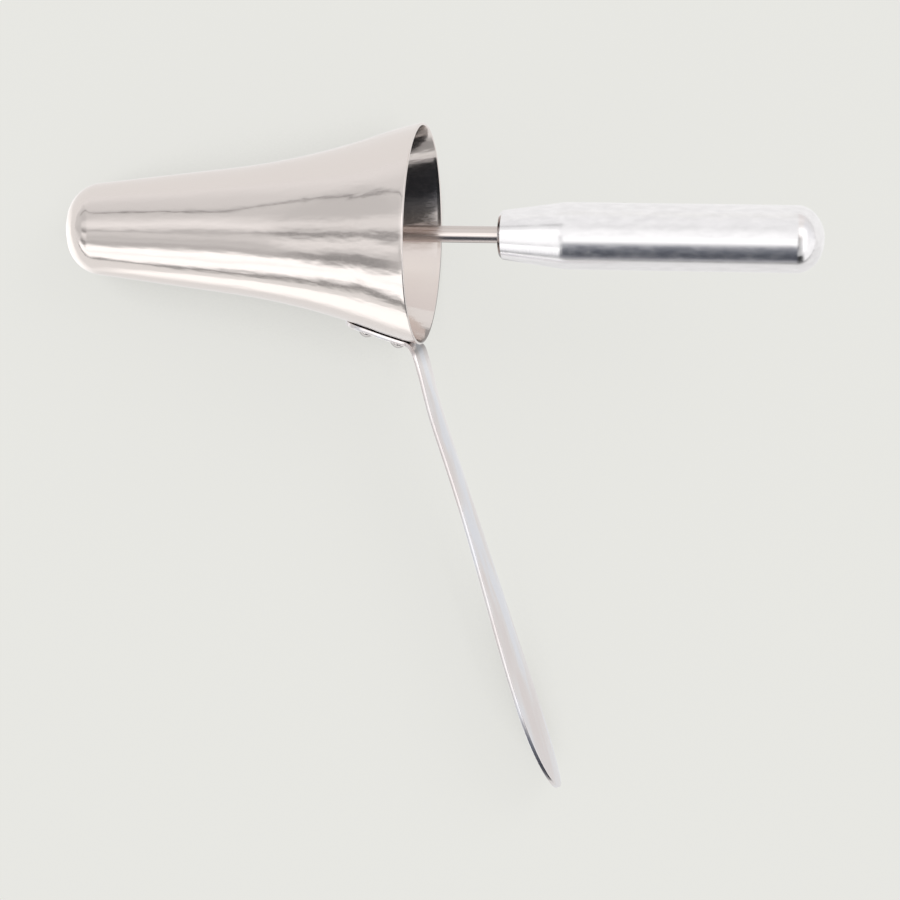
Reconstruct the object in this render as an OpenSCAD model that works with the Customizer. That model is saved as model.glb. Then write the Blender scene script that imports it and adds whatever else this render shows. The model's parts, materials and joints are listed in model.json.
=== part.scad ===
// Funnel speculum with a riveted strap handle and a sliding obturator.
// The instrument is built along its own X axis: the mouth plane is x = 0, the tip points to -X,
// the strap handle hangs to -Y and the obturator's grip sticks out to +X.
// The pieces are then laid down on the table plane z = 0, where the instrument rests on the
// mouth's rim, on the tip and on the edge of the strap.

/* [Funnel] */
// Length from the mouth plane to the tip's crown
funnel_length = 103.9; // [90:0.5:120]
// Outer radius at the mouth
mouth_r = 31.6; // [28:0.1:36]
// Half angle of the outer face where the flare ends at the mouth
lip_angle = 13; // [10:0.5:18]
// Depth of the stretch at the mouth where the flare straightens
lip_length = 13; // [6:0.5:20]
// Steepest half angle of the flare
flare_angle = 19; // [14:0.2:22]
// Depth over which the flare dies into the taper
flare_length = 43; // [30:1:55]
// Half angle of the tapered tube
taper_angle = 7; // [4:0.2:9]
// Radius of the rolled nose
nose_r = 10; // [6:0.5:11]
// Radius of the opening in the nose
opening_r = 7.2; // [5:0.1:8]
// Thickness of the sheet
wall = 0.8; // [0.6:0.05:1.2]

/* [Strap handle] */
// Thickness of the strap
strap_t = 1.25; // [0.9:0.05:1.6]
// Width of the riveted foot
foot_w = 10; // [8:0.5:14]
// Depth in the funnel at which the foot's round end lies
foot_depth = 22.3; // [20:0.1:28]
// Depth in the funnel at which the bend starts
bend_depth = 4.7; // [4:0.1:4.7]
// Radius of the bend, on its outer face
bend_r = 6; // [4:0.5:6]
// Lean of the handle from square, towards the grip
handle_lean = 18.0; // [5:0.5:25]
// Length of the handle from the end of the bend
handle_length = 132.5; // [110:0.5:150]
// Width of the handle below the bend
neck_w = 15.6; // [12:0.2:18]
// Width of the paddle
paddle_w = 24; // [18:0.2:28]
// Length of the narrow stretch before the handle widens
neck_length = 33; // [20:1:45]
// Length of the round end
cap_length = 26; // [16:1:34]
// How far the round end falls back behind the handle's straight line
end_dish = 1.2; // [0:0.1:2]
// Radius of the handle's crowned face across its width
crown_r = 27; // [20:1:60]

/* [Rivets] */
// Radius of a rivet's shank
rivet_r = 1.3; // [1:0.05:1.6]
// Radius of a rivet's round head
rivet_head_r = 2.45; // [2:0.05:3]
// Height of a rivet's round head
rivet_head_h = 2.0; // [1.2:0.1:2.2]
// Depth in the funnel of the rivet nearer the mouth
proximal_rivet_depth = 7.0; // [6.8:0.1:9]
// Depth in the funnel of the rivet nearer the tip
distal_rivet_depth = 16.1; // [13:0.1:17]
// Gap between a rivet's shank and its hole
rivet_gap = 0.03; // [0.02:0.01:0.08]

/* [Obturator] */
// Length of the tapered plug, with its nose
plug_length = 30; // [20:1:40]
// Gap between the plug and the funnel's inner face
plug_gap = 0.25; // [0.15:0.05:0.4]
// Gap between the nose spigot and the opening
spigot_gap = 0.15; // [0.1:0.05:0.3]
// Height of the nose's crown
crown_h = 1.35; // [0.8:0.05:2]
// Radius of the rod
rod_r = 2.4; // [2:0.05:3]
// Length of the rod inside the plug and inside the grip
rod_socket = 16; // [8:1:22]
// Gap between the rod and its sockets
socket_gap = 0.02; // [0.01:0.01:0.05]
// Distance from the mouth plane to the grip's front face
grip_start = 22.4; // [18:0.2:30]
// Radius of the grip's front edge
grip_front_r = 7.0; // [5:0.1:8]
// Width of the bevel round the grip's front face
grip_bevel = 0.8; // [0.4:0.1:1.2]
// Length of the grip's taper
grip_taper = 18.6; // [12:0.2:24]
// Radius of the grip's straight part
grip_r = 9.5; // [8:0.1:11]
// Length of the grip's straight part
grip_straight = 65.2; // [40:0.2:80]
// Depth of the grip's domed end
grip_dome = 7.8; // [5:0.2:9.5]

/* [Hidden] */
$fn = 96;

steel = "#c9c6c4";
aluminium = "#dfe0e4";
rivet_steel = "#b9b6b4";

// Steps in the curved outlines
lip_steps = 5;
flare_steps = 14;
nose_steps = 10;
dome_steps = 12;
// The gap between the foot and the sheet that it is riveted to
foot_gap = 0.05;

// Outer outline of the funnel, as the angle of its face and its radius at a depth.
// The angle grows evenly over the lip and falls evenly over the flare.
flare_end = lip_length + flare_length;
function face_angle(d) =
    d < lip_length ? lip_angle + (flare_angle - lip_angle) * d / lip_length :
    d < flare_end ? flare_angle + (taper_angle - flare_angle) * (d - lip_length) / flare_length :
    taper_angle;
// The drop in radius over a stretch whose face angle runs evenly from a to b
function drop(a, b, length) = length * tan((a + b) / 2);
function outer_r(d) =
    d < lip_length ? mouth_r - drop(lip_angle, face_angle(d), d) :
    d < flare_end ? outer_r_at_flare - drop(flare_angle, face_angle(d), d - lip_length) :
    outer_r_at_taper - (d - flare_end) * tan(taper_angle);
outer_r_at_flare = mouth_r - drop(lip_angle, flare_angle, lip_length);
outer_r_at_taper = outer_r_at_flare - drop(flare_angle, taper_angle, flare_length);

// The rolled nose is an arc tangent to the taper that ends at the opening's edge,
// nose_reach past the arc's centre along the axis
edge_depth = funnel_length - crown_h;
edge_rise = opening_r - outer_r(edge_depth) + nose_r / cos(taper_angle);
nose_reach = pow(cos(taper_angle), 2)
    * (edge_rise * tan(taper_angle) + sqrt(pow(nose_r / cos(taper_angle), 2) - pow(edge_rise, 2)));
nose_depth = edge_depth - nose_reach;
nose_centre_r = outer_r(nose_depth) - nose_r / cos(taper_angle);
// Angle of the arc's end at the radius r, on a circle of radius a, measured from the radial
function arc_end(a, r) = acos((r - nose_centre_r) / a);
// Arc of the nose at an offset inwards, from the taper to the radius r, as [x, r] points
function nose_arc(inset, r) = [for (i = [0 : nose_steps])
    let (a = nose_r - inset, t = taper_angle + (arc_end(a, r) - taper_angle) * i / nose_steps)
    [-nose_depth - a * sin(t), nose_centre_r + a * cos(t)]];

// Depths at which the curved stretches are stepped
wall_depths = concat([for (i = [0 : lip_steps]) i * lip_length / lip_steps],
                     [for (i = [1 : flare_steps]) lip_length + i * flare_length / flare_steps]);
// The wall's face at an inset from the outer one, from the mouth to the nose's opening
function wall_line(inset, r) = concat(
    [[0, mouth_r - inset / cos(lip_angle)]],
    [for (i = [1 : len(wall_depths) - 1]) let (d = wall_depths[i], a = face_angle(d))
        [-d + inset * sin(a), outer_r(d) - inset * cos(a)]],
    nose_arc(inset, r));
outer_line = wall_line(0, opening_r);
inner_line = wall_line(wall, opening_r);
function reversed(v) = [for (i = [len(v) - 1 : -1 : 0]) v[i]];
// Radius of the taper's face at an inset from the outer one
function taper_r(d, inset) = outer_r(d) - inset / cos(taper_angle);

// Obturator places along X
plug_back = -funnel_length + plug_length;
rod_start = plug_back - rod_socket;
rod_end = grip_start + rod_socket;
taper_end = grip_start + grip_taper;
straight_end = taper_end + grip_straight;
grip_end = straight_end + grip_dome;
spigot_r = opening_r - spigot_gap;
plug_chamfer = 1;
grip_line = concat(
    [[grip_start, 0], [grip_start, grip_front_r - grip_bevel], [grip_start + grip_bevel, grip_front_r],
     [taper_end, grip_r]],
    [for (i = [0 : dome_steps]) let (a = 90 * i / dome_steps)
        [straight_end + grip_dome * sin(a), i == dome_steps ? 0 : grip_r * cos(a)]]);

// Strap handle: the path of its funnel-side face in the XY plane, as stations of
// [position, angle of travel below +X, half width, curvature across]
bend_start_angle = face_angle(bend_depth);
bend_end_angle = 90 - handle_lean;
bend_p = [-bend_depth, -outer_r(bend_depth) - foot_gap];
function away(a) = [-sin(a), -cos(a)];
function along(a) = [cos(a), -sin(a)];
bend_c = bend_p + away(bend_start_angle) * bend_r;
handle_p = bend_c - away(bend_end_angle) * bend_r;
// Even blend from 0 to 1
function blend(t) = let (u = min(1, max(0, t))) u * u * (3 - 2 * u);
foot_length = foot_depth - bend_depth;
foot_steps = 12;
bend_steps = 8;
handle_steps = 26;
cap_steps = 12;
crown_blend = 20;
// Half of the end station's width, which closes the round ends
end_half_w = 0.5;
// Stations of the foot run over its round end and then along the funnel
foot_round = foot_w / 2;
foot_stations = [for (i = [0 : foot_steps - 1])
    let (t = i < foot_steps / 2 ? foot_round * (1 - cos(180 * i / foot_steps))
                                : foot_round + (foot_length - foot_round) * (2 * i / foot_steps - 1),
         d = foot_depth - t,
         half = t < foot_round ? max(end_half_w, sqrt(pow(foot_round, 2) - pow(foot_round - t, 2)))
                               : foot_round)
    [[-d, -outer_r(d) - foot_gap], face_angle(d), half, 0]];
bend_stations = [for (i = [0 : bend_steps])
    let (t = i / bend_steps, a = bend_start_angle + (bend_end_angle - bend_start_angle) * t)
    [bend_c - away(a) * bend_r, a, foot_round + (neck_w - foot_w) / 2 * blend(t), 0]];
cap_start = handle_length - cap_length;
function handle_half_w(s) =
    s > cap_start ? max(end_half_w, paddle_w / 2 * sqrt(1 - min(1, pow((s - cap_start) / cap_length, 2)))) :
    (neck_w + (paddle_w - neck_w) * blend((s - neck_length) / (cap_start - neck_length))) / 2;
handle_places = concat([for (i = [1 : handle_steps]) i * cap_start / handle_steps],
                       [for (i = [1 : cap_steps]) cap_start + cap_length * sin(90 * i / cap_steps)]);
handle_stations = [for (s = handle_places)
    let (fall = end_dish * pow(max(0, s - cap_start) / cap_length, 2))
    [handle_p + along(bend_end_angle) * s + away(bend_end_angle) * fall, bend_end_angle,
     handle_half_w(s), blend(s / crown_blend) / crown_r]];
stations = concat(foot_stations, bend_stations, handle_stations);
// Point of a station at the share v of its half width, at a depth into the strap
function strap_point(st, v, depth) =
    let (z = st[2] * v, p = st[0] + away(st[1]) * (depth + st[3] * z * z / 2)) [p[0], p[1], z];
strap_columns = 12;
function strap_ring(st) = concat(
    [for (j = [0 : strap_columns]) strap_point(st, 2 * j / strap_columns - 1, 0)],
    [for (j = [strap_columns : -1 : 0]) strap_point(st, 2 * j / strap_columns - 1, strap_t)]);

// Rest on the table: the tilt lays the rim and the nose's shoulder on the plane,
// and the roll then brings the strap's lower edge down to it
tilt = min([for (p = outer_line) if (p[0] < -lip_length) atan((mouth_r - p[1]) / -p[0])]);
function laid(p, roll) =
    let (y = p[1] * cos(roll) - p[2] * sin(roll), z = p[1] * sin(roll) + p[2] * cos(roll))
    [p[0] * cos(tilt) - z * sin(tilt), y, p[0] * sin(tilt) + z * cos(tilt) + mouth_r * cos(tilt)];
strap_corners = [for (st = stations, v = [-1, 1], depth = [0, strap_t]) strap_point(st, v, depth)];
function lowest(roll) = min([for (p = strap_corners) laid(p, roll)[2]]);
roll_limit = 40;
roll_halvings = 24;
function rest_roll(low, high, n) =
    n == 0 ? low : let (mid = (low + high) / 2)
    lowest(mid) > 0 ? rest_roll(mid, high, n - 1) : rest_roll(low, mid, n - 1);
roll = rest_roll(0, roll_limit, roll_halvings);

// The origin is the middle of the laid instrument's outline, on the table
x_min = -max([for (p = outer_line) p[1] * sin(tilt) - p[0] * cos(tilt)]);
x_max = max([for (p = grip_line) p[0] * cos(tilt) + p[1] * sin(tilt)]);
y_min = min([for (p = strap_corners) laid(p, roll)[1]]);
y_max = mouth_r;
module lay_down() {
    translate([-(x_min + x_max) / 2, -(y_min + y_max) / 2, mouth_r * cos(tilt)])
        rotate([roll, -tilt, 0])
            children();
}

// Turns an outline of [x, r] points about the instrument's X axis
module turned(line) {
    rotate([0, 90, 0]) rotate_extrude() polygon([for (p = line) [p[1], p[0]]]);
}

// A frame on the funnel's outer face at a depth, with +Z pointing away from the axis
module on_funnel(d) {
    translate([-d, -outer_r(d), 0]) rotate([90, 0, 0]) rotate([0, -face_angle(d), 0]) children();
}

module rivet_holes() {
    hole_reach = 4;
    for (d = [proximal_rivet_depth, distal_rivet_depth])
        on_funnel(d) cylinder(r = rivet_r + rivet_gap, h = 2 * hole_reach, center = true);
}

// Sheet metal funnel with its rolled nose, drilled for the two rivets
module speculum_cone() {
    color(steel) lay_down() difference() {
        turned(concat(outer_line, reversed(inner_line)));
        rivet_holes();
    }
}

// Bent strap with a flat foot, which meets the funnel along its middle line, and a crowned handle
module strap_handle() {
    n = len(stations);
    m = 2 * (strap_columns + 1);
    sides = [for (i = [0 : n - 2], j = [0 : m - 1])
        let (k = (j + 1) % m) each [[i * m + j, (i + 1) * m + j, i * m + k],
                                    [i * m + k, (i + 1) * m + j, (i + 1) * m + k]]];
    function end_face(base, flip) = [for (j = [0 : strap_columns - 1])
        let (a = base + j, b = base + j + 1, c = base + m - 2 - j, d = base + m - 1 - j)
        each flip ? [[a, b, d], [b, c, d]] : [[a, d, b], [b, d, c]]];
    color(steel) lay_down() difference() {
        polyhedron(points = [for (st = stations) each strap_ring(st)],
                   faces = concat(sides, end_face(0, true), end_face((n - 1) * m, false)));
        rivet_holes();
    }
}

// Round-headed rivet, headed outside the foot and flush with the funnel's inner face
module rivet(d) {
    head_seat = foot_gap + strap_t + rivet_gap;
    ball_r = (pow(rivet_head_r, 2) + pow(rivet_head_h, 2)) / (2 * rivet_head_h);
    color(rivet_steel) lay_down() on_funnel(d) union() {
        translate([0, 0, -wall]) cylinder(r = rivet_r, h = wall + head_seat + rivet_head_h / 2);
        intersection() {
            translate([0, 0, head_seat + rivet_head_h - ball_r]) sphere(r = ball_r);
            translate([0, 0, head_seat]) cylinder(r = rivet_head_r, h = rivet_head_h);
        }
    }
}
module rivet_proximal() { rivet(proximal_rivet_depth); }
module rivet_distal() { rivet(distal_rivet_depth); }

// Tapered plug with its domed nose standing in the funnel's opening
module obturator_plug() {
    inset = wall + plug_gap;
    arc = nose_arc(inset, spigot_r);
    dome_r = (pow(spigot_r, 2) + pow(crown_h, 2)) / (2 * crown_h);
    dome_angle = asin(spigot_r / dome_r);
    dome = [for (i = [0 : dome_steps]) let (a = dome_angle * (1 - i / dome_steps))
        [-funnel_length + dome_r - dome_r * cos(a), i == dome_steps ? 0 : dome_r * sin(a)]];
    back_r = taper_r(-plug_back, inset);
    line = concat([[plug_back, 0], [plug_back, back_r - plug_chamfer], [plug_back - plug_chamfer, back_r]],
                  arc, dome);
    color(aluminium) lay_down() difference() {
        turned(line);
        translate([rod_start - socket_gap, 0, 0]) rotate([0, 90, 0])
            cylinder(r = rod_r + socket_gap, h = 2 * rod_socket);
    }
}

// Plain round rod that joins the plug and the grip
module obturator_rod() {
    color(steel) lay_down() translate([rod_start, 0, 0]) rotate([0, 90, 0])
        cylinder(r = rod_r, h = rod_end - rod_start);
}

// Turned grip with a bevelled front, a taper and a domed end
module obturator_grip() {
    color(aluminium) lay_down() difference() {
        turned(grip_line);
        translate([rod_end + socket_gap, 0, 0]) rotate([0, -90, 0])
            cylinder(r = rod_r + socket_gap, h = 2 * rod_socket);
    }
}

speculum_cone();
strap_handle();
rivet_distal();
rivet_proximal();
obturator_plug();
obturator_rod();
obturator_grip();
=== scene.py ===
"""Looks of the funnel speculum with its obturator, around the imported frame.

The instrument is built along its own X axis in millimetres, with the mouth plane at x = 0, the tip
to -X and the strap to -Y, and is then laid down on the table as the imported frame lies.
"""
import json
from math import acos, asin, atan2, cos, pi, radians, sin, sqrt, tan

import bmesh
import bpy
from mathutils import Matrix, Vector


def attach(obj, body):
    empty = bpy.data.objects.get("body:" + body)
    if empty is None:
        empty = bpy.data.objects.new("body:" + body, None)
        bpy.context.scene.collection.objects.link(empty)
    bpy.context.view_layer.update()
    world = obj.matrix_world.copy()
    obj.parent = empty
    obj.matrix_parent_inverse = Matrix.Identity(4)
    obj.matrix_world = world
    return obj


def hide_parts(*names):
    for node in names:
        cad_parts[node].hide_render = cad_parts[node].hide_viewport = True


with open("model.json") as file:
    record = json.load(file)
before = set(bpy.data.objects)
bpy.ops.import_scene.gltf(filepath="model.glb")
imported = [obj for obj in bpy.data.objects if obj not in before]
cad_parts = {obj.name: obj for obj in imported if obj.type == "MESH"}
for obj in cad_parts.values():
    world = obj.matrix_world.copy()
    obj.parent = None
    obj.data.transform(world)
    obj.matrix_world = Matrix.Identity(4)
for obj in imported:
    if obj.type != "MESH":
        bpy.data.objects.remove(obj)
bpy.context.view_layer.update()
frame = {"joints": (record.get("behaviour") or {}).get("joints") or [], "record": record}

# Camera. It hangs above the table, close to plumb, and sees the whole instrument.
# The picture is 900 px square.
PICTURE_PX = 900
SENSOR_MM = 36
camera_height = 1.100
camera_target = Vector((0.00443, 0.00217, 0.020))
px_per_metre = 3483.3
camera_lean_x, camera_lean_y, camera_turn = radians(-1.208), radians(0.244), radians(-1.353)
turn = (Matrix.Rotation(camera_turn, 4, "Z") @ Matrix.Rotation(camera_lean_y, 4, "X")
        @ Matrix.Rotation(-camera_lean_x, 4, "Y"))
camera_data = bpy.data.cameras.new("studio_camera")
camera_data.sensor_width = SENSOR_MM
camera_data.lens = px_per_metre * camera_height / PICTURE_PX * SENSOR_MM
camera = bpy.data.objects.new("studio_camera", camera_data)
camera.matrix_world = (Matrix.Translation(camera_target) @ turn.transposed()
                       @ Matrix.Translation((0, 0, camera_height)))
bpy.context.scene.collection.objects.link(camera)
bpy.context.scene.camera = camera
bpy.context.scene.view_settings.view_transform = "Standard"

# Floor. A sheet of matt, pale grey board under the instrument, large enough to fill every view.
# It is evenly lit and keeps a faint shadow. The metal mirrors it with a painted glow, brighter,
# and with patches of painted light and painted shade.
floor_half = 3.0
floor_colour, background, shadow = "#F4F3EF", "#E7E7E3", "#B2B2AE"
shadow_reach, shadow_full, shadow_gone = 0.036, 0.15, 0.52
shadow_share, mirrored_share = 0.16, 0.4
painted_mirror_glow = 1.75


def linear(hex_colour):
    """The linear colour, with its alpha, of an sRGB hex value."""
    parts = [int(hex_colour[i:i + 2], 16) / 255 for i in (1, 3, 5)]
    return [p / 12.92 if p < 0.04045 else ((p + 0.055) / 1.055) ** 2.4 for p in parts] + [1]


def add_node(tree, kind, inputs={}, stops=(), **settings):
    """Adds a node. An input's value is a constant or the socket that it is linked from.

    Inputs go by name or by place. In Map Range, 1 and 2 are the limits of the value and 3 and 4
    those of the result. In Mix, 0 is the share, and 6 and 7 are the two colours.
    """
    made = tree.nodes.new(kind)
    for name, value in settings.items():
        setattr(made, name, value)
    for name, value in inputs.items():
        if isinstance(value, bpy.types.NodeSocket):
            tree.links.new(value, made.inputs[name])
        else:
            made.inputs[name].default_value = value
    for i, (place, colour) in enumerate(stops):
        stop = made.color_ramp.elements[i] if i < 2 else made.color_ramp.elements.new(place)
        stop.position = place
        stop.color = linear(colour)
    return made


def new_material(name):
    material = bpy.data.materials.new(name)
    material.use_nodes = True
    material.node_tree.nodes.clear()
    return material, material.node_tree


def put_in_scene(name, points, faces, material):
    mesh = bpy.data.meshes.new(name)
    mesh.from_pydata(points, [], faces)
    mesh.materials.append(material)
    piece = bpy.data.objects.new(name, mesh)
    bpy.context.scene.collection.objects.link(piece)
    return piece


# Matt board: an even tone with a soft shadow where the instrument hides the sky, and a share of
# the lamp's own shading
floor_board, tree = new_material("matt_grey_board")
light_path = add_node(tree, "ShaderNodeLightPath").outputs
lit = add_node(tree, "ShaderNodeBsdfDiffuse", {"Color": linear(floor_colour)})
open_sky = add_node(tree, "ShaderNodeAmbientOcclusion", {"Distance": shadow_reach}, samples=4)
shade = add_node(tree, "ShaderNodeMapRange", {
    0: open_sky.outputs["AO"], 1: shadow_full, 2: shadow_gone})
even_tone = add_node(tree, "ShaderNodeMix", {
    0: shade.outputs[0], 6: linear(shadow), 7: linear(background)}, data_type="RGBA")
even = add_node(tree, "ShaderNodeEmission", {"Color": even_tone.outputs[2]})
shadowed = add_node(tree, "ShaderNodeMixShader", {
    0: shadow_share, 1: even.outputs[0], 2: lit.outputs[0]})

# The board that the metal mirrors has painted light and painted shade: it is white, as painted
# light, where the lamps reach it, in front of the funnel and round its tip, and grey, as painted
# shade, in front of the grip, below the rod and far off; below the rod the grey is a painted
# shadow. Each patch begins at the first of its measures, in metres, and is full at the second.
board_colour = "#D6D6D6"
front_slope, axis_y, painted_shadow_spot = 0.5, 0.054, (0.004, 0.05, 0)
board_place = add_node(tree, "ShaderNodeTexCoord").outputs["Object"]
floor_x, floor_y = add_node(tree, "ShaderNodeSeparateXYZ", {0: board_place}).outputs[:2]
front_line = add_node(tree, "ShaderNodeMath", {0: floor_x, 1: front_slope, 2: floor_y},
                      operation="MULTIPLY_ADD").outputs[0]
from_axis = add_node(tree, "ShaderNodeMath", {0: floor_y, 1: axis_y}, operation="SUBTRACT")
from_axis = add_node(tree, "ShaderNodeMath", {0: from_axis.outputs[0]}, operation="ABSOLUTE")
on_board = add_node(tree, "ShaderNodeCombineXYZ", {0: floor_x, 1: floor_y}).outputs[0]
from_rod = add_node(tree, "ShaderNodeVectorMath", {0: on_board, 1: painted_shadow_spot}, operation="DISTANCE")
patches = {}
for name, measure, start, full in (
        ("front", front_line, -0.014, -0.033),
        ("funnel_side", floor_x, 0.03, 0.0),
        ("tip_front", from_axis.outputs[0], 0.028, 0.01),
        ("near_tip", floor_x, -0.165, -0.14),
        ("past_tip", floor_x, -0.1, -0.11),
        ("grip_front", floor_y, 0.06, 0.04),
        ("right_of_strap", floor_x, 0.0, 0.02),
        ("painted_shadow_below_rod", from_rod.outputs["Value"], 0.02, 0.012),
        ("painted_shade_far_off", floor_y, -0.22, -0.4)):
    patches[name] = add_node(tree, "ShaderNodeMapRange", {
        0: measure, 1: start, 2: full}).outputs[0]
for name, one, other in (("painted_light_front", "front", "funnel_side"),
                         ("painted_light_tip", "tip_front", "near_tip"),
                         ("painted_shade_right", "grip_front", "right_of_strap")):
    patches[name] = add_node(tree, "ShaderNodeMath", {0: patches[one], 1: patches[other]},
                             operation="MULTIPLY").outputs[0]
# Where the white of painted light lies: in front of the funnel, and round the tip past it
patches["white"] = add_node(tree, "ShaderNodeMix", {
    0: patches["past_tip"], 2: patches["painted_light_front"], 3: patches["painted_light_tip"]}).outputs[0]
# The mirrored board's tones: white for painted light, grey for painted shade, and darker grey for
# the painted shadow below the rod and the painted shade far off
board = linear(board_colour)
for name, colour in (("white", "#FFFFFF"), ("painted_shade_right", "#CBCBCB"), ("painted_shadow_below_rod", "#8E8E8E"),
                     ("painted_shade_far_off", "#848484")):
    board = add_node(tree, "ShaderNodeMix", {0: patches[name], 6: board, 7: linear(colour)},
                     data_type="RGBA").outputs[2]
# A painted glow: the board that the metal mirrors shines brighter than the lamps light it
mirrored_even = add_node(tree, "ShaderNodeEmission", {"Color": board, "Strength": painted_mirror_glow})
mirrored_lit = add_node(tree, "ShaderNodeBsdfDiffuse", {"Color": board})
mirrored_floor = add_node(tree, "ShaderNodeMixShader", {
    0: mirrored_share, 1: mirrored_even.outputs[0], 2: mirrored_lit.outputs[0]})
seen = add_node(tree, "ShaderNodeMixShader", {
    0: light_path["Is Camera Ray"], 1: mirrored_floor.outputs[0], 2: shadowed.outputs[0]})
add_node(tree, "ShaderNodeOutputMaterial", {"Surface": seen.outputs[0]})
floor = put_in_scene("floor", [(-floor_half, -floor_half, 0), (floor_half, -floor_half, 0),
                               (floor_half, floor_half, 0), (-floor_half, floor_half, 0)],
                     [(0, 1, 2, 3)], floor_board)

# Studio. A pale tent with grey panels, which the metal mirrors, and one soft lamp from the
# upper right. What the tent shows goes by the angle round the table's X axis, from -90 degrees
# at the near wall over 0 overhead to 90 at the far wall, and by the lean towards +X.
studio = bpy.data.worlds.new("tent")
studio.use_nodes = True
tent_light = 1.48
tree = studio.node_tree
tree.nodes.clear()
direction = add_node(tree, "ShaderNodeTexCoord").outputs["Generated"]
parts = add_node(tree, "ShaderNodeSeparateXYZ", {0: direction}).outputs
round_x = add_node(tree, "ShaderNodeMath", {0: parts[1], 1: parts[2]},
                   operation="ARCTAN2").outputs[0]
lean = add_node(tree, "ShaderNodeMath", {0: parts[0]}, operation="ARCSINE").outputs[0]

# The panels over the tip hang askew: the further out, the lower they reach down the near wall,
# except overhead and at the foot of the wall
askew_from = radians(-36)
askew_ends = {"below_top": (-12, -25), "above_foot": (-80, -66)}
beyond = add_node(tree, "ShaderNodeMath", {0: askew_from, 1: lean}, operation="SUBTRACT")
beyond = add_node(tree, "ShaderNodeMath", {0: beyond.outputs[0], 1: 0},
                  operation="MAXIMUM").outputs[0]
below_top, above_foot = [
    add_node(tree, "ShaderNodeMapRange", {0: round_x, 1: radians(start), 2: radians(full)},
             interpolation_type="SMOOTHSTEP").outputs[0] for start, full in askew_ends.values()]
askew = add_node(tree, "ShaderNodeMath", {0: below_top, 1: above_foot}, operation="MULTIPLY")
tip_angle = add_node(tree, "ShaderNodeMath", {0: beyond, 1: askew.outputs[0], 2: round_x},
                     operation="MULTIPLY_ADD").outputs[0]
tip_place, place = [
    add_node(tree, "ShaderNodeMapRange", {0: angle, 1: -pi / 2, 2: pi / 2}).outputs[0]
    for angle in (tip_angle, round_x)]

# The tones of each panel, by degrees from the near wall to the far wall
panel_tones = {
    "over_tip": (tip_place, (
        (-90, "#BEBEBE"), (-88, "#BEBEBE"), (-86, "#FFFFFF"), (-74, "#FFFFFF"), (-69, "#EEEEEE"),
        (-64, "#FFFFFF"), (-53, "#FFFFFF"), (-49, "#C8C8C8"), (-44, "#ADADAD"), (-38, "#ABABAB"),
        (-31, "#BABABA"), (-24, "#B4B4B4"), (-16, "#C3C3C3"), (-12, "#C1C1C1"), (-7, "#A7A7A7"),
        (-3, "#C5C5C5"), (2, "#D5D5D5"), (8, "#DFDFDF"), (14, "#D7D7D7"), (20, "#CFCFCF"),
        (29, "#C0C0C0"), (37, "#BFBFBF"), (47, "#C3C3C3"), (55, "#C6C6C6"), (64, "#C7C7C7"),
        (74, "#CCCCCC"), (85, "#D3D3D3"))),
    "over_flare": (place, (
        (-90, "#898989"), (-87.5, "#898989"), (-85, "#FFFFFF"), (-69, "#FFFFFF"),
        (-65, "#CDCDCD"), (-60, "#909090"), (-56, "#838383"), (-51, "#888888"), (-46, "#919191"),
        (-41, "#B4B4B4"), (-36, "#C9C9C9"), (-28, "#D7D7D7"), (-22, "#DADADA"), (-16, "#BCBCBC"),
        (-11, "#888888"), (-7, "#888888"), (-2, "#BDBDBD"), (2, "#C7C7C7"), (8, "#D2D2D2"),
        (14, "#D1D1D1"), (20, "#C8C8C8"), (26, "#B8B8B8"), (36, "#B6B6B6"), (50, "#B7B7B7"),
        (62, "#BDBDBD"), (70, "#BDBDBD"), (76, "#BFBFBF"), (84, "#C8C8C8"), (89, "#D0D0D0"))),
    "past_tip": (place, (
        (-88, "#D2D2D2"), (-60, "#CCCCCC"), (-30, "#B6B6B6"), (0, "#B8B8B8"), (40, "#BEBEBE"),
        (88, "#BEBEBE"))),
    "over_grip": (place, (
        (-88, "#949497"), (-81, "#52545B"), (-70, "#3C3F46"), (-56, "#484B53"), (-45, "#5C5F66"),
        (-38, "#75777D"), (-31, "#A6A7AA"), (-26, "#CFCFCF"), (-22, "#F4F4F4"), (-8, "#EEEEEE"),
        (4, "#DFDFDF"), (16, "#DEDEDE"), (24, "#D2D2D2"), (32, "#CDCDCD"), (45, "#D2D2D2"),
        (62, "#CFCFCF"), (88, "#D0D0CE"))),
    "in_mouth": (place, (
        (-88, "#1C1D1F"), (-46, "#1D1E21"), (-36, "#38393B"), (-8, "#433F3C"), (2, "#625D59"),
        (9, "#B9B4B1"), (18, "#D3D1D0"), (34, "#D6D4D2"), (50, "#CFCCCA"), (88, "#C8C4C3"))),
    "past_grip": (place, (
        (-88, "#DFDFDF"), (-20, "#D9D9D9"), (40, "#CBCBCD"), (88, "#BFBEBD")))}
panels = {}
for name, (angle_place, tones) in panel_tones.items():
    panels[name] = add_node(tree, "ShaderNodeValToRGB", {0: angle_place}, stops=[
        ((angle + 90) / 180, tone) for angle, tone in tones]).outputs[0]

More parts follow.
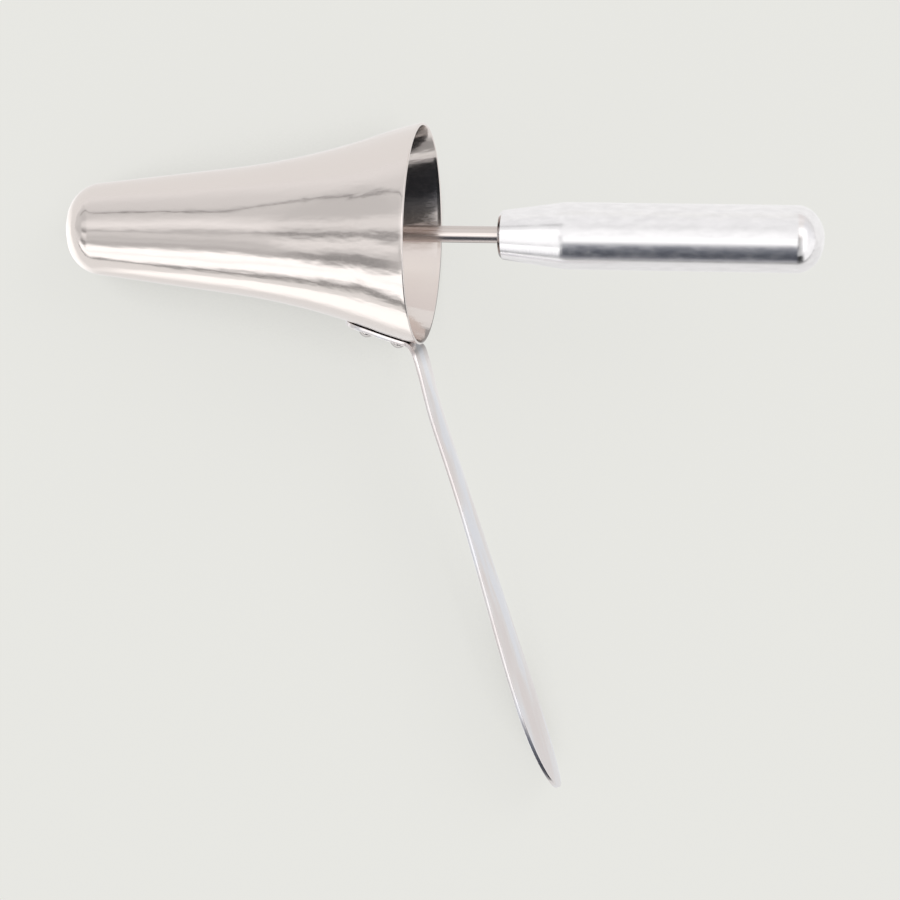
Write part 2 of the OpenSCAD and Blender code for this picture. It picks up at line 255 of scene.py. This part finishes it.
# The tip's panel goes over into the flare's as the lean grows, and a dark seam crosses both. It
# hangs lower on the far wall towards the tip, until its shift is spent.
flare_from, flare_full = radians(6), radians(13)
seam_tone, seam_half = "#757575", radians(4)
seam_angle, seam_fall, seam_shift = radians(39.5), 2.1, radians(9.5)
shift = add_node(tree, "ShaderNodeMath", {0: beyond, 1: seam_shift}, operation="MINIMUM")
seam_place = add_node(tree, "ShaderNodeMath", {
    0: shift.outputs[0], 1: seam_fall, 2: seam_angle}, operation="MULTIPLY_ADD")
from_seam = add_node(tree, "ShaderNodeMath", {0: round_x, 1: seam_place.outputs[0]},
                     operation="SUBTRACT")
from_seam = add_node(tree, "ShaderNodeMath", {0: from_seam.outputs[0]}, operation="ABSOLUTE")
on_seam = add_node(tree, "ShaderNodeMapRange", {0: from_seam.outputs[0], 1: seam_half, 2: 0},
                   interpolation_type="SMOOTHSTEP")
flared = add_node(tree, "ShaderNodeMapRange", {0: beyond, 1: flare_from, 2: flare_full},
                  interpolation_type="SMOOTHSTEP")
over_funnel = add_node(tree, "ShaderNodeMix", {
    0: flared.outputs[0], 6: panels["over_tip"], 7: panels["over_flare"]}, data_type="RGBA")
panels["over_funnel"] = add_node(tree, "ShaderNodeMix", {
    0: on_seam.outputs[0], 6: over_funnel.outputs[2], 7: linear(seam_tone)},
    data_type="RGBA").outputs[2]

# Each panel takes over from the one before it between two leans, in degrees
tent = panels["past_tip"]
for name, start, end in (("over_funnel", -66, -60), ("over_grip", -26, -20), ("in_mouth", 5, 8),
                         ("past_grip", 22, 38)):
    share = add_node(tree, "ShaderNodeMapRange", {0: lean, 1: radians(start), 2: radians(end)},
                     interpolation_type="SMOOTHSTEP")
    tent = add_node(tree, "ShaderNodeMix", {0: share.outputs[0], 6: tent, 7: panels[name]},
                    data_type="RGBA").outputs[2]
mirrored = add_node(tree, "ShaderNodeLightPath").outputs["Is Glossy Ray"]
plain = add_node(tree, "ShaderNodeBackground", {"Color": linear(background)})
panelled = add_node(tree, "ShaderNodeBackground", {"Color": tent, "Strength": tent_light})
both = add_node(tree, "ShaderNodeMixShader", {
    0: mirrored, 1: plain.outputs[0], 2: panelled.outputs[0]})
add_node(tree, "ShaderNodeOutputWorld", {"Surface": both.outputs[0]})
bpy.context.scene.world = studio

lamp_light, lamp_spread, lamp_from = 0.62, radians(35), Vector((0.9, 0.75, 1.0))
lamp_data = bpy.data.lights.new("soft_lamp", "SUN")
lamp_data.energy = lamp_light
lamp_data.angle = lamp_spread
lamp = bpy.data.objects.new("soft_lamp", lamp_data)
lamp.rotation_euler = lamp_from.to_track_quat("Z", "Y").to_euler()
lamp.visible_glossy = False
bpy.context.scene.collection.objects.link(lamp)

# Four small soft boxes hang close over the instrument, and only the metal shows them. Three
# overlap above the funnel, where the grip's taper mirrors them, so that their light falls off in
# steps. One hangs beyond the grip's end, and the dome mirrors it.
for name, place_m, size_m, box_radiance in (
        ("neck_soft_box", (-0.026, 0.0425, 0.108), (0.04, 0.085), 0.5),
        ("mid_neck_soft_box", (-0.026, 0.0575, 0.108), (0.04, 0.115), 0.12),
        ("wide_neck_soft_box", (-0.026, 0.15, 0.108), (0.04, 0.3), 0.12),
        ("end_soft_box", (0.142, 0.02, 0.125), (0.06, 0.18), 0.55)):
    box_data = bpy.data.lights.new(name, "AREA")
    box_data.shape = "RECTANGLE"
    box_data.size, box_data.size_y = size_m
    box_data.energy = box_radiance * pi * size_m[0] * size_m[1]
    box = bpy.data.objects.new(name, box_data)
    box.location = place_m
    box.visible_diffuse = False
    bpy.context.scene.collection.objects.link(box)

# Funnel. One piece of nickel-plated sheet steel, spun to a tapered tube with a flared mouth
# and a rolled nose, and polished. The mouth's rim is rounded.
funnel_length, mouth_r, wall = 103.9, 31.6, 0.8
lip_angle, lip_length = radians(13), 13
flare_angle, flare_length = radians(19), 43
taper_angle = radians(7)
nose_r, opening_r = 10, 7.2
crown_h = 1.35
flare_end = lip_length + flare_length
grip_start, grip_taper, grip_straight = 22.4, 18.6, 65.2
ROUND_STEPS, nose_steps, rim_steps = 288, 24, 10


def mean_slope(start, end, length):
    return length * tan((start + end) / 2)


flare_r = mouth_r - mean_slope(lip_angle, flare_angle, lip_length)
taper_r = flare_r - mean_slope(flare_angle, taper_angle, flare_length)


def face_angle(d):
    """The outer face's slope at a depth from the mouth plane."""
    if d < lip_length:
        return lip_angle + (flare_angle - lip_angle) * d / lip_length
    return flare_angle + (taper_angle - flare_angle) * min(1, (d - lip_length) / flare_length)


def outer_r(d):
    if d < lip_length:
        return mouth_r - mean_slope(lip_angle, face_angle(d), d)
    if d < flare_end:
        return flare_r - mean_slope(flare_angle, face_angle(d), d - lip_length)
    return taper_r - (d - flare_end) * tan(taper_angle)


def wall_point(d, inset):
    a = face_angle(d)
    return -d + inset * sin(a), outer_r(d) - inset * cos(a)


# The nose's arc touches the taper and ends at the opening, which the plug's crown stands out of
edge_depth = funnel_length - crown_h
edge_rise = opening_r - outer_r(edge_depth) + nose_r / cos(taper_angle)
nose_reach = cos(taper_angle) ** 2 * (edge_rise * tan(taper_angle)
                                      + sqrt((nose_r / cos(taper_angle)) ** 2 - edge_rise ** 2))
nose_depth = edge_depth - nose_reach
nose_centre_r = outer_r(nose_depth) - nose_r / cos(taper_angle)


def nose_arc(inset, end_r):
    """The rolled nose's outline at an inset, from the taper to the opening."""
    a = nose_r - inset
    end = acos((end_r - nose_centre_r) / a)
    turns = [taper_angle + (end - taper_angle) * i / nose_steps for i in range(nose_steps + 1)]
    return [(-nose_depth - a * sin(t), nose_centre_r + a * cos(t)) for t in turns]


# The frame's laying down: tilted about Y by the slide's slope and rolled on to the strap's edge.
# The middle of the grip's barrel is the part's mount, and gives the mouth's place.
slope = frame["joints"][0]["axis"]
tilt = atan2(slope[2], slope[0])
roll = radians(10.5313)
barrel = frame["record"]["mounts"][0]["pos_m"]
mouth = Vector(barrel) - Vector(slope) * (grip_start + grip_taper + grip_straight / 2) / 1000
laid = Matrix.Rotation(-tilt, 4, "Y") @ Matrix.Rotation(roll, 4, "X")
LAY = Matrix.Translation(mouth) @ laid @ Matrix.Scale(0.001, 4)
SHARP = radians(32)
ON_AXIS = 1e-6


def finish_piece(name, points, faces, material, body, node, weld=0, sharp=SHARP):
    """Puts a piece of millimetre points in place, smooth with its turned edges kept sharp."""
    piece = put_in_scene(name, points, faces, material)
    shell = bmesh.new()
    shell.from_mesh(piece.data)
    if weld:
        bmesh.ops.remove_doubles(shell, verts=shell.verts, dist=weld)
    bmesh.ops.recalc_face_normals(shell, faces=shell.faces)
    shell.to_mesh(piece.data)
    shell.free()
    piece.data.transform(LAY)
    piece.data.shade_smooth()
    if sharp:
        piece.data.set_sharp_from_angle(angle=sharp)
    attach(piece, body)
    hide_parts(node)


def turned(line, closed=False):
    """Points and faces of an outline of (x, r) points turned round the X axis."""
    points, rings, faces = [], [], []
    for x, r in line:
        count = ROUND_STEPS if r > ON_AXIS else 1
        rings.append(range(len(points), len(points) + count))
        points += [(x, r * cos(2 * pi * k / count), r * sin(2 * pi * k / count))
                   for k in range(count)]
    for a, b in zip(rings, rings[1:] + rings[:1] if closed else rings[1:]):
        for k in range(ROUND_STEPS):
            k2 = (k + 1) % ROUND_STEPS
            quad = [a[k % len(a)], a[k2 % len(a)], b[k2 % len(b)], b[k % len(b)]]
            faces.append(tuple(dict.fromkeys(quad)))
    return points, faces


def instrument_mm(tree):
    """Coordinates in the instrument's own frame, in millimetres, which stay with the piece."""
    here = add_node(tree, "ShaderNodeTexCoord").outputs["Object"]
    return add_node(tree, "ShaderNodeMapping", {
        "Vector": here, "Location": mouth, "Rotation": laid.to_euler(),
        "Scale": (0.001, 0.001, 0.001)}, vector_type="TEXTURE").outputs[0]


# Polished nickel plate: a warm, slightly soft mirror. Spinning leaves low waves in the sheet,
# about 29 mm long and 8 mm wide. The polishing lines run lengthwise. They are drawn 7 mm long and
# 0.3 mm wide, coarser than the real ones, so that they show. Most of a noise lies in its range.
NOISE_RANGE = {1: 0.3, 2: 0.7}
plate_colour, plate_rough = "#E3DBD7", {3: 0.08, 4: 0.17}
waves_per_mm, lines_per_mm = (0.035, 0.12, 0.12), (0.15, 3.0, 3.0)
nickel_plate, tree = new_material("polished_nickel_plate")
spot = instrument_mm(tree)
wave_place = add_node(tree, "ShaderNodeMapping", {"Vector": spot, "Scale": waves_per_mm})
waves = add_node(tree, "ShaderNodeTexNoise", {
    "Vector": wave_place.outputs[0], "Scale": 1.0, "Detail": 3.0})
line_place = add_node(tree, "ShaderNodeMapping", {"Vector": spot, "Scale": lines_per_mm})
scratches = add_node(tree, "ShaderNodeTexNoise", {
    "Vector": line_place.outputs[0], "Scale": 1.0, "Detail": 4.0, "Roughness": 0.6})
roughness = add_node(tree, "ShaderNodeMapRange", {
    0: scratches.outputs[0], **NOISE_RANGE, **plate_rough})
relief = add_node(tree, "ShaderNodeBump", {
    "Height": waves.outputs[0], "Strength": 0.4, "Distance": 0.0006})
fine_relief = add_node(tree, "ShaderNodeBump", {
    "Height": scratches.outputs[0], "Strength": 0.06, "Distance": 0.00005,
    "Normal": relief.outputs[0]})
metal = add_node(tree, "ShaderNodeBsdfPrincipled", {
    "Base Color": linear(plate_colour), "Metallic": 1.0, "Roughness": roughness.outputs[0],
    "Normal": fine_relief.outputs[0]})
add_node(tree, "ShaderNodeOutputMaterial", {"Surface": metal.outputs[0]})

wall_step = 1.0
rim_r = wall / 2
wall_steps = round(nose_depth / wall_step)
depths = [rim_r + i * (nose_depth - rim_r) / wall_steps for i in range(wall_steps)]
rim_centre = wall_point(rim_r, rim_r)
rim_turns = [lip_angle - pi / 2 + pi * i / rim_steps for i in range(1, rim_steps + 1)]
lip_rim = [(rim_centre[0] + rim_r * cos(t), rim_centre[1] + rim_r * sin(t)) for t in rim_turns]
line = (lip_rim + [wall_point(d, 0) for d in depths[1:]] + nose_arc(0, opening_r)
        + nose_arc(wall, opening_r)[::-1] + [wall_point(d, wall) for d in depths[::-1]])
points, faces = turned(line, closed=True)
finish_piece("speculum_funnel", points, faces, nickel_plate, "speculum",
             "speculum_cone")

# Strap handle. One nickel-plated steel strap with a flat, round-ended foot, a tight bend at
# the mouth and a long handle, pressed to a crown across its width. Its edges are rounded.
strap_t, foot_w, foot_depth = 1.25, 10, 22.3
bend_depth, bend_r = 4.7, 6
handle_lean, handle_length = radians(18), 132.5
neck_w, paddle_w, neck_length, cap_length = 15.6, 24, 33, 26
end_dish, crown_r, crown_blend = 1.2, 27, 20
foot_gap = 0.05
edge_r = 0.2
foot_end_steps, foot_steps, bend_steps, handle_steps, cap_steps = 16, 15, 16, 90, 32
face_steps, edge_steps = 18, 4
weld_mm = 1e-5
cap_start = handle_length - cap_length


def away(a):
    return Vector((-sin(a), -cos(a)))


def along(a):
    return Vector((cos(a), -sin(a)))


def blend(t):
    u = min(1, max(0, t))
    return u * u * (3 - 2 * u)


bend_start = face_angle(bend_depth)
bend_end = pi / 2 - handle_lean
bend_centre = (Vector((-bend_depth, -outer_r(bend_depth) - foot_gap))
               + away(bend_start) * bend_r)
handle_start = bend_centre - away(bend_end) * bend_r


def handle_half_w(s):
    widening = blend((s - neck_length) / (cap_start - neck_length))
    return (neck_w + (paddle_w - neck_w) * widening) / 2


# Stations along the strap: place, angle of travel, half width, crown and the way out of its
# edge. They run over the foot's round end, the foot, the bend, the handle and its round end.
stations = []
foot_round = foot_w / 2
for i in range(foot_end_steps + 1):
    t = pi / 2 * i / foot_end_steps
    d = foot_depth - foot_round * (1 - cos(t))
    stations.append((Vector((-d, -outer_r(d) - foot_gap)), face_angle(d), foot_round * sin(t), 0,
                     (-cos(t), sin(t))))
for i in range(1, foot_steps):
    d = foot_depth - foot_round + (bend_depth - foot_depth + foot_round) * i / foot_steps
    stations.append((Vector((-d, -outer_r(d) - foot_gap)), face_angle(d), foot_round, 0, (0, 1)))
for i in range(bend_steps + 1):
    t = i / bend_steps
    a = bend_start + (bend_end - bend_start) * t
    stations.append((bend_centre - away(a) * bend_r, a,
                     foot_round + (neck_w - foot_w) / 2 * blend(t), 0, (0, 1)))
for i in range(1, handle_steps + 1):
    s = cap_start * i / handle_steps
    rise_per_mm = handle_half_w(s + 0.5) - handle_half_w(s - 0.5) if s < cap_start - 1 else 0
    stations.append((handle_start + along(bend_end) * s, bend_end, handle_half_w(s),
                     blend(s / crown_blend) / crown_r, Vector((-rise_per_mm, 1)).normalized()))
for i in range(1, cap_steps + 1):
    t = pi / 2 * i / cap_steps
    s = cap_start + cap_length * sin(t)
    fall = end_dish * sin(t) ** 2
    stations.append((handle_start + along(bend_end) * s + away(bend_end) * fall, bend_end,
                     paddle_w / 2 * cos(t) if i < cap_steps else 0, 1 / crown_r,
                     Vector((sin(t) / cap_length, cos(t) / (paddle_w / 2))).normalized()))

# Points across a station: the two faces, and between them the rounded edge on each side
quarter_turn = [pi / 2 * i / edge_steps for i in range(edge_steps + 1)]
edge_line = ([(edge_r * (1 - sin(t)), edge_r * (1 - cos(t))) for t in quarter_turn]
             + [(edge_r * (1 - sin(t)), strap_t - edge_r * (1 - cos(t)))
                for t in quarter_turn[::-1]])
across = [-1, -0.97] + [-0.9 + 1.8 * j / face_steps for j in range(face_steps + 1)] + [0.97, 1]


def strap_point(station, inset, depth, share):
    """A point of a station, by its inset from the edge, its depth and its share of the width."""
    place, a, half_w, crown, out = station
    z = (half_w - inset * out[1]) * share
    p = place - along(a) * (inset * out[0]) + away(a) * (depth + crown * z * z / 2)
    return p.x, p.y, z


loops = []
points = []
for station in stations:
    ring = ([strap_point(station, edge_r, 0, share) for share in across]
            + [strap_point(station, inset, depth, 1) for inset, depth in edge_line[1:-1]]
            + [strap_point(station, edge_r, strap_t, share) for share in across[::-1]]
            + [strap_point(station, inset, depth, -1) for inset, depth in edge_line[-2:0:-1]])
    loops.append(range(len(points), len(points) + len(ring)))
    points += ring
faces = []
for a, b in zip(loops, loops[1:]):
    count = len(a)
    faces += [(a[k], a[(k + 1) % count], b[(k + 1) % count], b[k]) for k in range(count)]

# Polished strap steel: a soft, even shine. The grain runs along the handle, drawn 20 mm long and
# 0.5 mm wide so that it shows. The plate's tint goes warmer and cooler in streaks along the
# handle, about 70 mm long and 6 mm wide.
strap_rough = {3: 0.12, 4: 0.22}
grain_per_mm, streaks_per_mm = (2.0, 0.05, 2.0), (0.1, 0.014, 0.16)
streak_tones = ((0.4, "#E5DEDD"), (0.5, "#E8E4E4"), (0.6, "#E8E9EF"))
strap_steel, tree = new_material("polished_strap_steel")
spot = instrument_mm(tree)
grain_place = add_node(tree, "ShaderNodeMapping", {
    "Vector": spot, "Rotation": (0, 0, handle_lean), "Scale": grain_per_mm})
grain = add_node(tree, "ShaderNodeTexNoise", {
    "Vector": grain_place.outputs[0], "Scale": 1.0, "Detail": 4.0})
roughness = add_node(tree, "ShaderNodeMapRange", {
    0: grain.outputs[0], **NOISE_RANGE, **strap_rough})
streak_place = add_node(tree, "ShaderNodeMapping", {
    "Vector": spot, "Rotation": (0, 0, handle_lean), "Scale": streaks_per_mm})
tint_streaks = add_node(tree, "ShaderNodeTexNoise", {
    "Vector": streak_place.outputs[0], "Scale": 1.0, "Detail": 2.0})
tint = add_node(tree, "ShaderNodeValToRGB", {0: tint_streaks.outputs[0]}, stops=streak_tones)
relief = add_node(tree, "ShaderNodeBump", {
    "Height": grain.outputs[0], "Strength": 0.1, "Distance": 0.00005})
metal = add_node(tree, "ShaderNodeBsdfPrincipled", {
    "Base Color": tint.outputs[0], "Metallic": 1.0, "Roughness": roughness.outputs[0],
    "Normal": relief.outputs[0]})
add_node(tree, "ShaderNodeOutputMaterial", {"Surface": metal.outputs[0]})
finish_piece("strap_handle_piece", points, faces, strap_steel, "speculum",
             "strap_handle", weld=weld_mm, sharp=None)

# Rivets. Two solid steel rivets through the foot and the wall, with round heads outside the
# foot. Their inner ends are hammered nearly flush inside the funnel.
rivet_r, rivet_head_r, rivet_head_h, rivet_gap = 1.3, 2.45, 2.0, 0.03
rivet_set, set_share, set_reach, set_spread = 0.06, 0.6, 0.7, 0.1
head_break_x, head_break_r, head_edge, head_steps = 0.06, 0.1, 0.12, 16
tip_rivet_depth, mouth_rivet_depth = 16.1, 7.0

# Satin rivet steel: duller and darker than the plate, with dents of about 1 mm from the hammer
rivet_colour, rivet_rough, dents_per_mm = "#B9B5B3", {3: 0.08, 4: 0.2}, 0.9
rivet_steel, tree = new_material("satin_rivet_steel")
spot = instrument_mm(tree)
dents = add_node(tree, "ShaderNodeTexNoise", {
    "Vector": spot, "Scale": dents_per_mm, "Detail": 3.0})
roughness = add_node(tree, "ShaderNodeMapRange", {
    0: dents.outputs[0], **NOISE_RANGE, **rivet_rough})
relief = add_node(tree, "ShaderNodeBump", {
    "Height": dents.outputs[0], "Strength": 0.4, "Distance": 0.0003})
metal = add_node(tree, "ShaderNodeBsdfPrincipled", {
    "Base Color": linear(rivet_colour), "Metallic": 1.0, "Roughness": roughness.outputs[0],
    "Normal": relief.outputs[0]})
add_node(tree, "ShaderNodeOutputMaterial", {"Surface": metal.outputs[0]})

# The outline's x counts outwards from the funnel's face
head_seat = foot_gap + strap_t + rivet_gap
ball_r = (rivet_head_r ** 2 + rivet_head_h ** 2) / (2 * rivet_head_h)
ball_x = head_seat + rivet_head_h - ball_r
head_turn = asin((rivet_head_r - head_edge) / ball_r)
line = ([(-wall - rivet_set, 0), (-wall - rivet_set * set_share, rivet_r * set_reach),
         (-wall, rivet_r + set_spread), (-wall / 2, rivet_r), (head_seat, rivet_r),
         (head_seat, rivet_head_r - head_break_r), (head_seat + head_break_x, rivet_head_r)]
        + [(ball_x + ball_r * cos(t), ball_r * sin(t)) for t in
           [head_turn * (1 - i / head_steps) for i in range(head_steps)]]
        + [(ball_x + ball_r, 0)])
for name, node, depth in (("rivet_near_mouth", "rivet_proximal", mouth_rivet_depth),
                          ("rivet_near_tip", "rivet_distal", tip_rivet_depth)):
    out, on = away(face_angle(depth)), along(face_angle(depth))
    seat = Matrix(((out.x, on.x, 0, -depth), (out.y, on.y, 0, -outer_r(depth)), (0, 0, 1, 0),
                   (0, 0, 0, 1)))
    points, faces = turned(line)
    points = [seat @ Vector(p) for p in points]
    finish_piece(name, points, faces, rivet_steel, "speculum", node)

# Obturator plug. A turned and polished aluminium cone that fills the tube's end; its domed
# nose closes the opening. The rod is pressed into its back.
plug_length, plug_gap, spigot_gap = 30, 0.25, 0.15
rod_r, rod_socket, socket_gap = 2.4, 16, 0.02
plug_chamfer = 1
plug_back = -funnel_length + plug_length
inset = wall + plug_gap
spigot_r = opening_r - spigot_gap
dome_r = (spigot_r ** 2 + crown_h ** 2) / (2 * crown_h)
dome_turn = asin(spigot_r / dome_r)
back_r = outer_r(-plug_back) - inset / cos(taper_angle)
rod_start = plug_back - rod_socket
rod_end = grip_start + rod_socket
nose_line = [(-funnel_length + dome_r - dome_r * cos(t), dome_r * sin(t))
             for t in [dome_turn * (1 - i / nose_steps) for i in range(nose_steps)]]
line = ([(rod_start - socket_gap, 0), (rod_start - socket_gap, rod_r + socket_gap),
         (plug_back, rod_r + socket_gap), (plug_back, back_r - plug_chamfer),
         (plug_back - plug_chamfer, back_r)]
        + nose_arc(inset, spigot_r)[:-1] + nose_line + [(-funnel_length, 0)])

# Polished plug aluminium: pale and soft, with the rings that turning leaves. They are drawn
# 0.3 mm apart, coarser than the real ones, so that they show.
plug_colour, plug_rough, rings_per_mm = "#EBE9EA", {3: 0.16, 4: 0.26}, (3.0, 0.1, 0.1)
plug_aluminium, tree = new_material("polished_plug_aluminium")
spot = instrument_mm(tree)
ring_place = add_node(tree, "ShaderNodeMapping", {"Vector": spot, "Scale": rings_per_mm})
turning = add_node(tree, "ShaderNodeTexNoise", {
    "Vector": ring_place.outputs[0], "Scale": 1.0, "Detail": 3.0})
roughness = add_node(tree, "ShaderNodeMapRange", {
    0: turning.outputs[0], **NOISE_RANGE, **plug_rough})
relief = add_node(tree, "ShaderNodeBump", {
    "Height": turning.outputs[0], "Strength": 0.15, "Distance": 0.00005})
metal = add_node(tree, "ShaderNodeBsdfPrincipled", {
    "Base Color": linear(plug_colour), "Metallic": 1.0, "Roughness": roughness.outputs[0],
    "Normal": relief.outputs[0]})
add_node(tree, "ShaderNodeOutputMaterial", {"Surface": metal.outputs[0]})
points, faces = turned(line)
finish_piece("obturator_nose_plug", points, faces, plug_aluminium,
             "obturator", "obturator_plug")

# Obturator rod. Plain steel bar, drawn through a die and polished, with its two ends pressed
# into the plug and the grip. The ends are broken with a small chamfer.
rod_chamfer = 0.3

# Drawn rod steel: a warm, dark mirror with lengthwise drawing lines, shown 10 mm long and 0.5 mm
# wide, coarser than the real ones
rod_colour, rod_rough, drawn_per_mm = "#CFC6C2", {3: 0.1, 4: 0.2}, (0.1, 2.0, 2.0)
rod_steel, tree = new_material("drawn_rod_steel")
spot = instrument_mm(tree)
drawn_place = add_node(tree, "ShaderNodeMapping", {"Vector": spot, "Scale": drawn_per_mm})
drawing = add_node(tree, "ShaderNodeTexNoise", {
    "Vector": drawn_place.outputs[0], "Scale": 1.0, "Detail": 3.0})
roughness = add_node(tree, "ShaderNodeMapRange", {
    0: drawing.outputs[0], **NOISE_RANGE, **rod_rough})
metal = add_node(tree, "ShaderNodeBsdfPrincipled", {
    "Base Color": linear(rod_colour), "Metallic": 1.0, "Roughness": roughness.outputs[0]})
add_node(tree, "ShaderNodeOutputMaterial", {"Surface": metal.outputs[0]})
line = [(rod_start, 0), (rod_start, rod_r - rod_chamfer), (rod_start + rod_chamfer, rod_r),
        (rod_end - rod_chamfer, rod_r), (rod_end, rod_r - rod_chamfer), (rod_end, 0)]
points, faces = turned(line)
finish_piece("obturator_centre_rod", points, faces, rod_steel, "obturator",
             "obturator_rod")

# Obturator grip. Aluminium bar, turned to a bevelled front, a taper, a straight barrel and a
# domed end, then polished by hand on the lathe.
grip_front_r, grip_bevel, grip_r, grip_dome = 7.0, 0.8, 9.5, 7.8
taper_steps, barrel_steps, dome_steps = 18, 60, 32
taper_end = grip_start + grip_taper
straight_end = taper_end + grip_straight
dome_turns = [pi / 2 * i / dome_steps for i in range(1, dome_steps)]
line = ([(rod_end + socket_gap, 0), (rod_end + socket_gap, rod_r + socket_gap),
         (grip_start, rod_r + socket_gap), (grip_start, grip_front_r - grip_bevel),
         (grip_start + grip_bevel, grip_front_r)]
        + [(grip_start + grip_bevel + (grip_taper - grip_bevel) * i / taper_steps,
            grip_front_r + (grip_r - grip_front_r) * i / taper_steps)
           for i in range(1, taper_steps + 1)]
        + [(taper_end + grip_straight * i / barrel_steps, grip_r)
           for i in range(1, barrel_steps + 1)]
        + [(straight_end + grip_dome * sin(t), grip_r * cos(t)) for t in dome_turns]
        + [(straight_end + grip_dome, 0)])

# Turned grip aluminium: white and soft, with turning rings, drawn 0.4 mm apart so that they
# show, and the cloudy spots of hand polishing, about 4 mm long and 2 mm wide
grip_rough, grip_tones = {3: 0.16, 4: 0.26}, ((0.3, "#EDEBEC"), (0.7, "#F8F6F7"))
rings_per_mm, clouds_per_mm = (2.5, 0.12, 0.12), (0.25, 0.6, 0.6)
grip_aluminium, tree = new_material("turned_grip_aluminium")
spot = instrument_mm(tree)
ring_place = add_node(tree, "ShaderNodeMapping", {"Vector": spot, "Scale": rings_per_mm})
turning = add_node(tree, "ShaderNodeTexNoise", {
    "Vector": ring_place.outputs[0], "Scale": 1.0, "Detail": 4.0})
cloud_place = add_node(tree, "ShaderNodeMapping", {"Vector": spot, "Scale": clouds_per_mm})
mottle = add_node(tree, "ShaderNodeTexNoise", {
    "Vector": cloud_place.outputs[0], "Scale": 1.0, "Detail": 5.0})
roughness = add_node(tree, "ShaderNodeMapRange", {
    0: mottle.outputs[0], **NOISE_RANGE, **grip_rough})
tone = add_node(tree, "ShaderNodeValToRGB", {0: mottle.outputs[0]}, stops=grip_tones)
relief = add_node(tree, "ShaderNodeBump", {
    "Height": turning.outputs[0], "Strength": 0.2, "Distance": 0.00005})
metal = add_node(tree, "ShaderNodeBsdfPrincipled", {
    "Base Color": tone.outputs[0], "Metallic": 1.0, "Roughness": roughness.outputs[0],
    "Normal": relief.outputs[0]})
add_node(tree, "ShaderNodeOutputMaterial", {"Surface": metal.outputs[0]})
points, faces = turned(line)
finish_piece("obturator_barrel_grip", points, faces, grip_aluminium,
             "obturator", "obturator_grip")
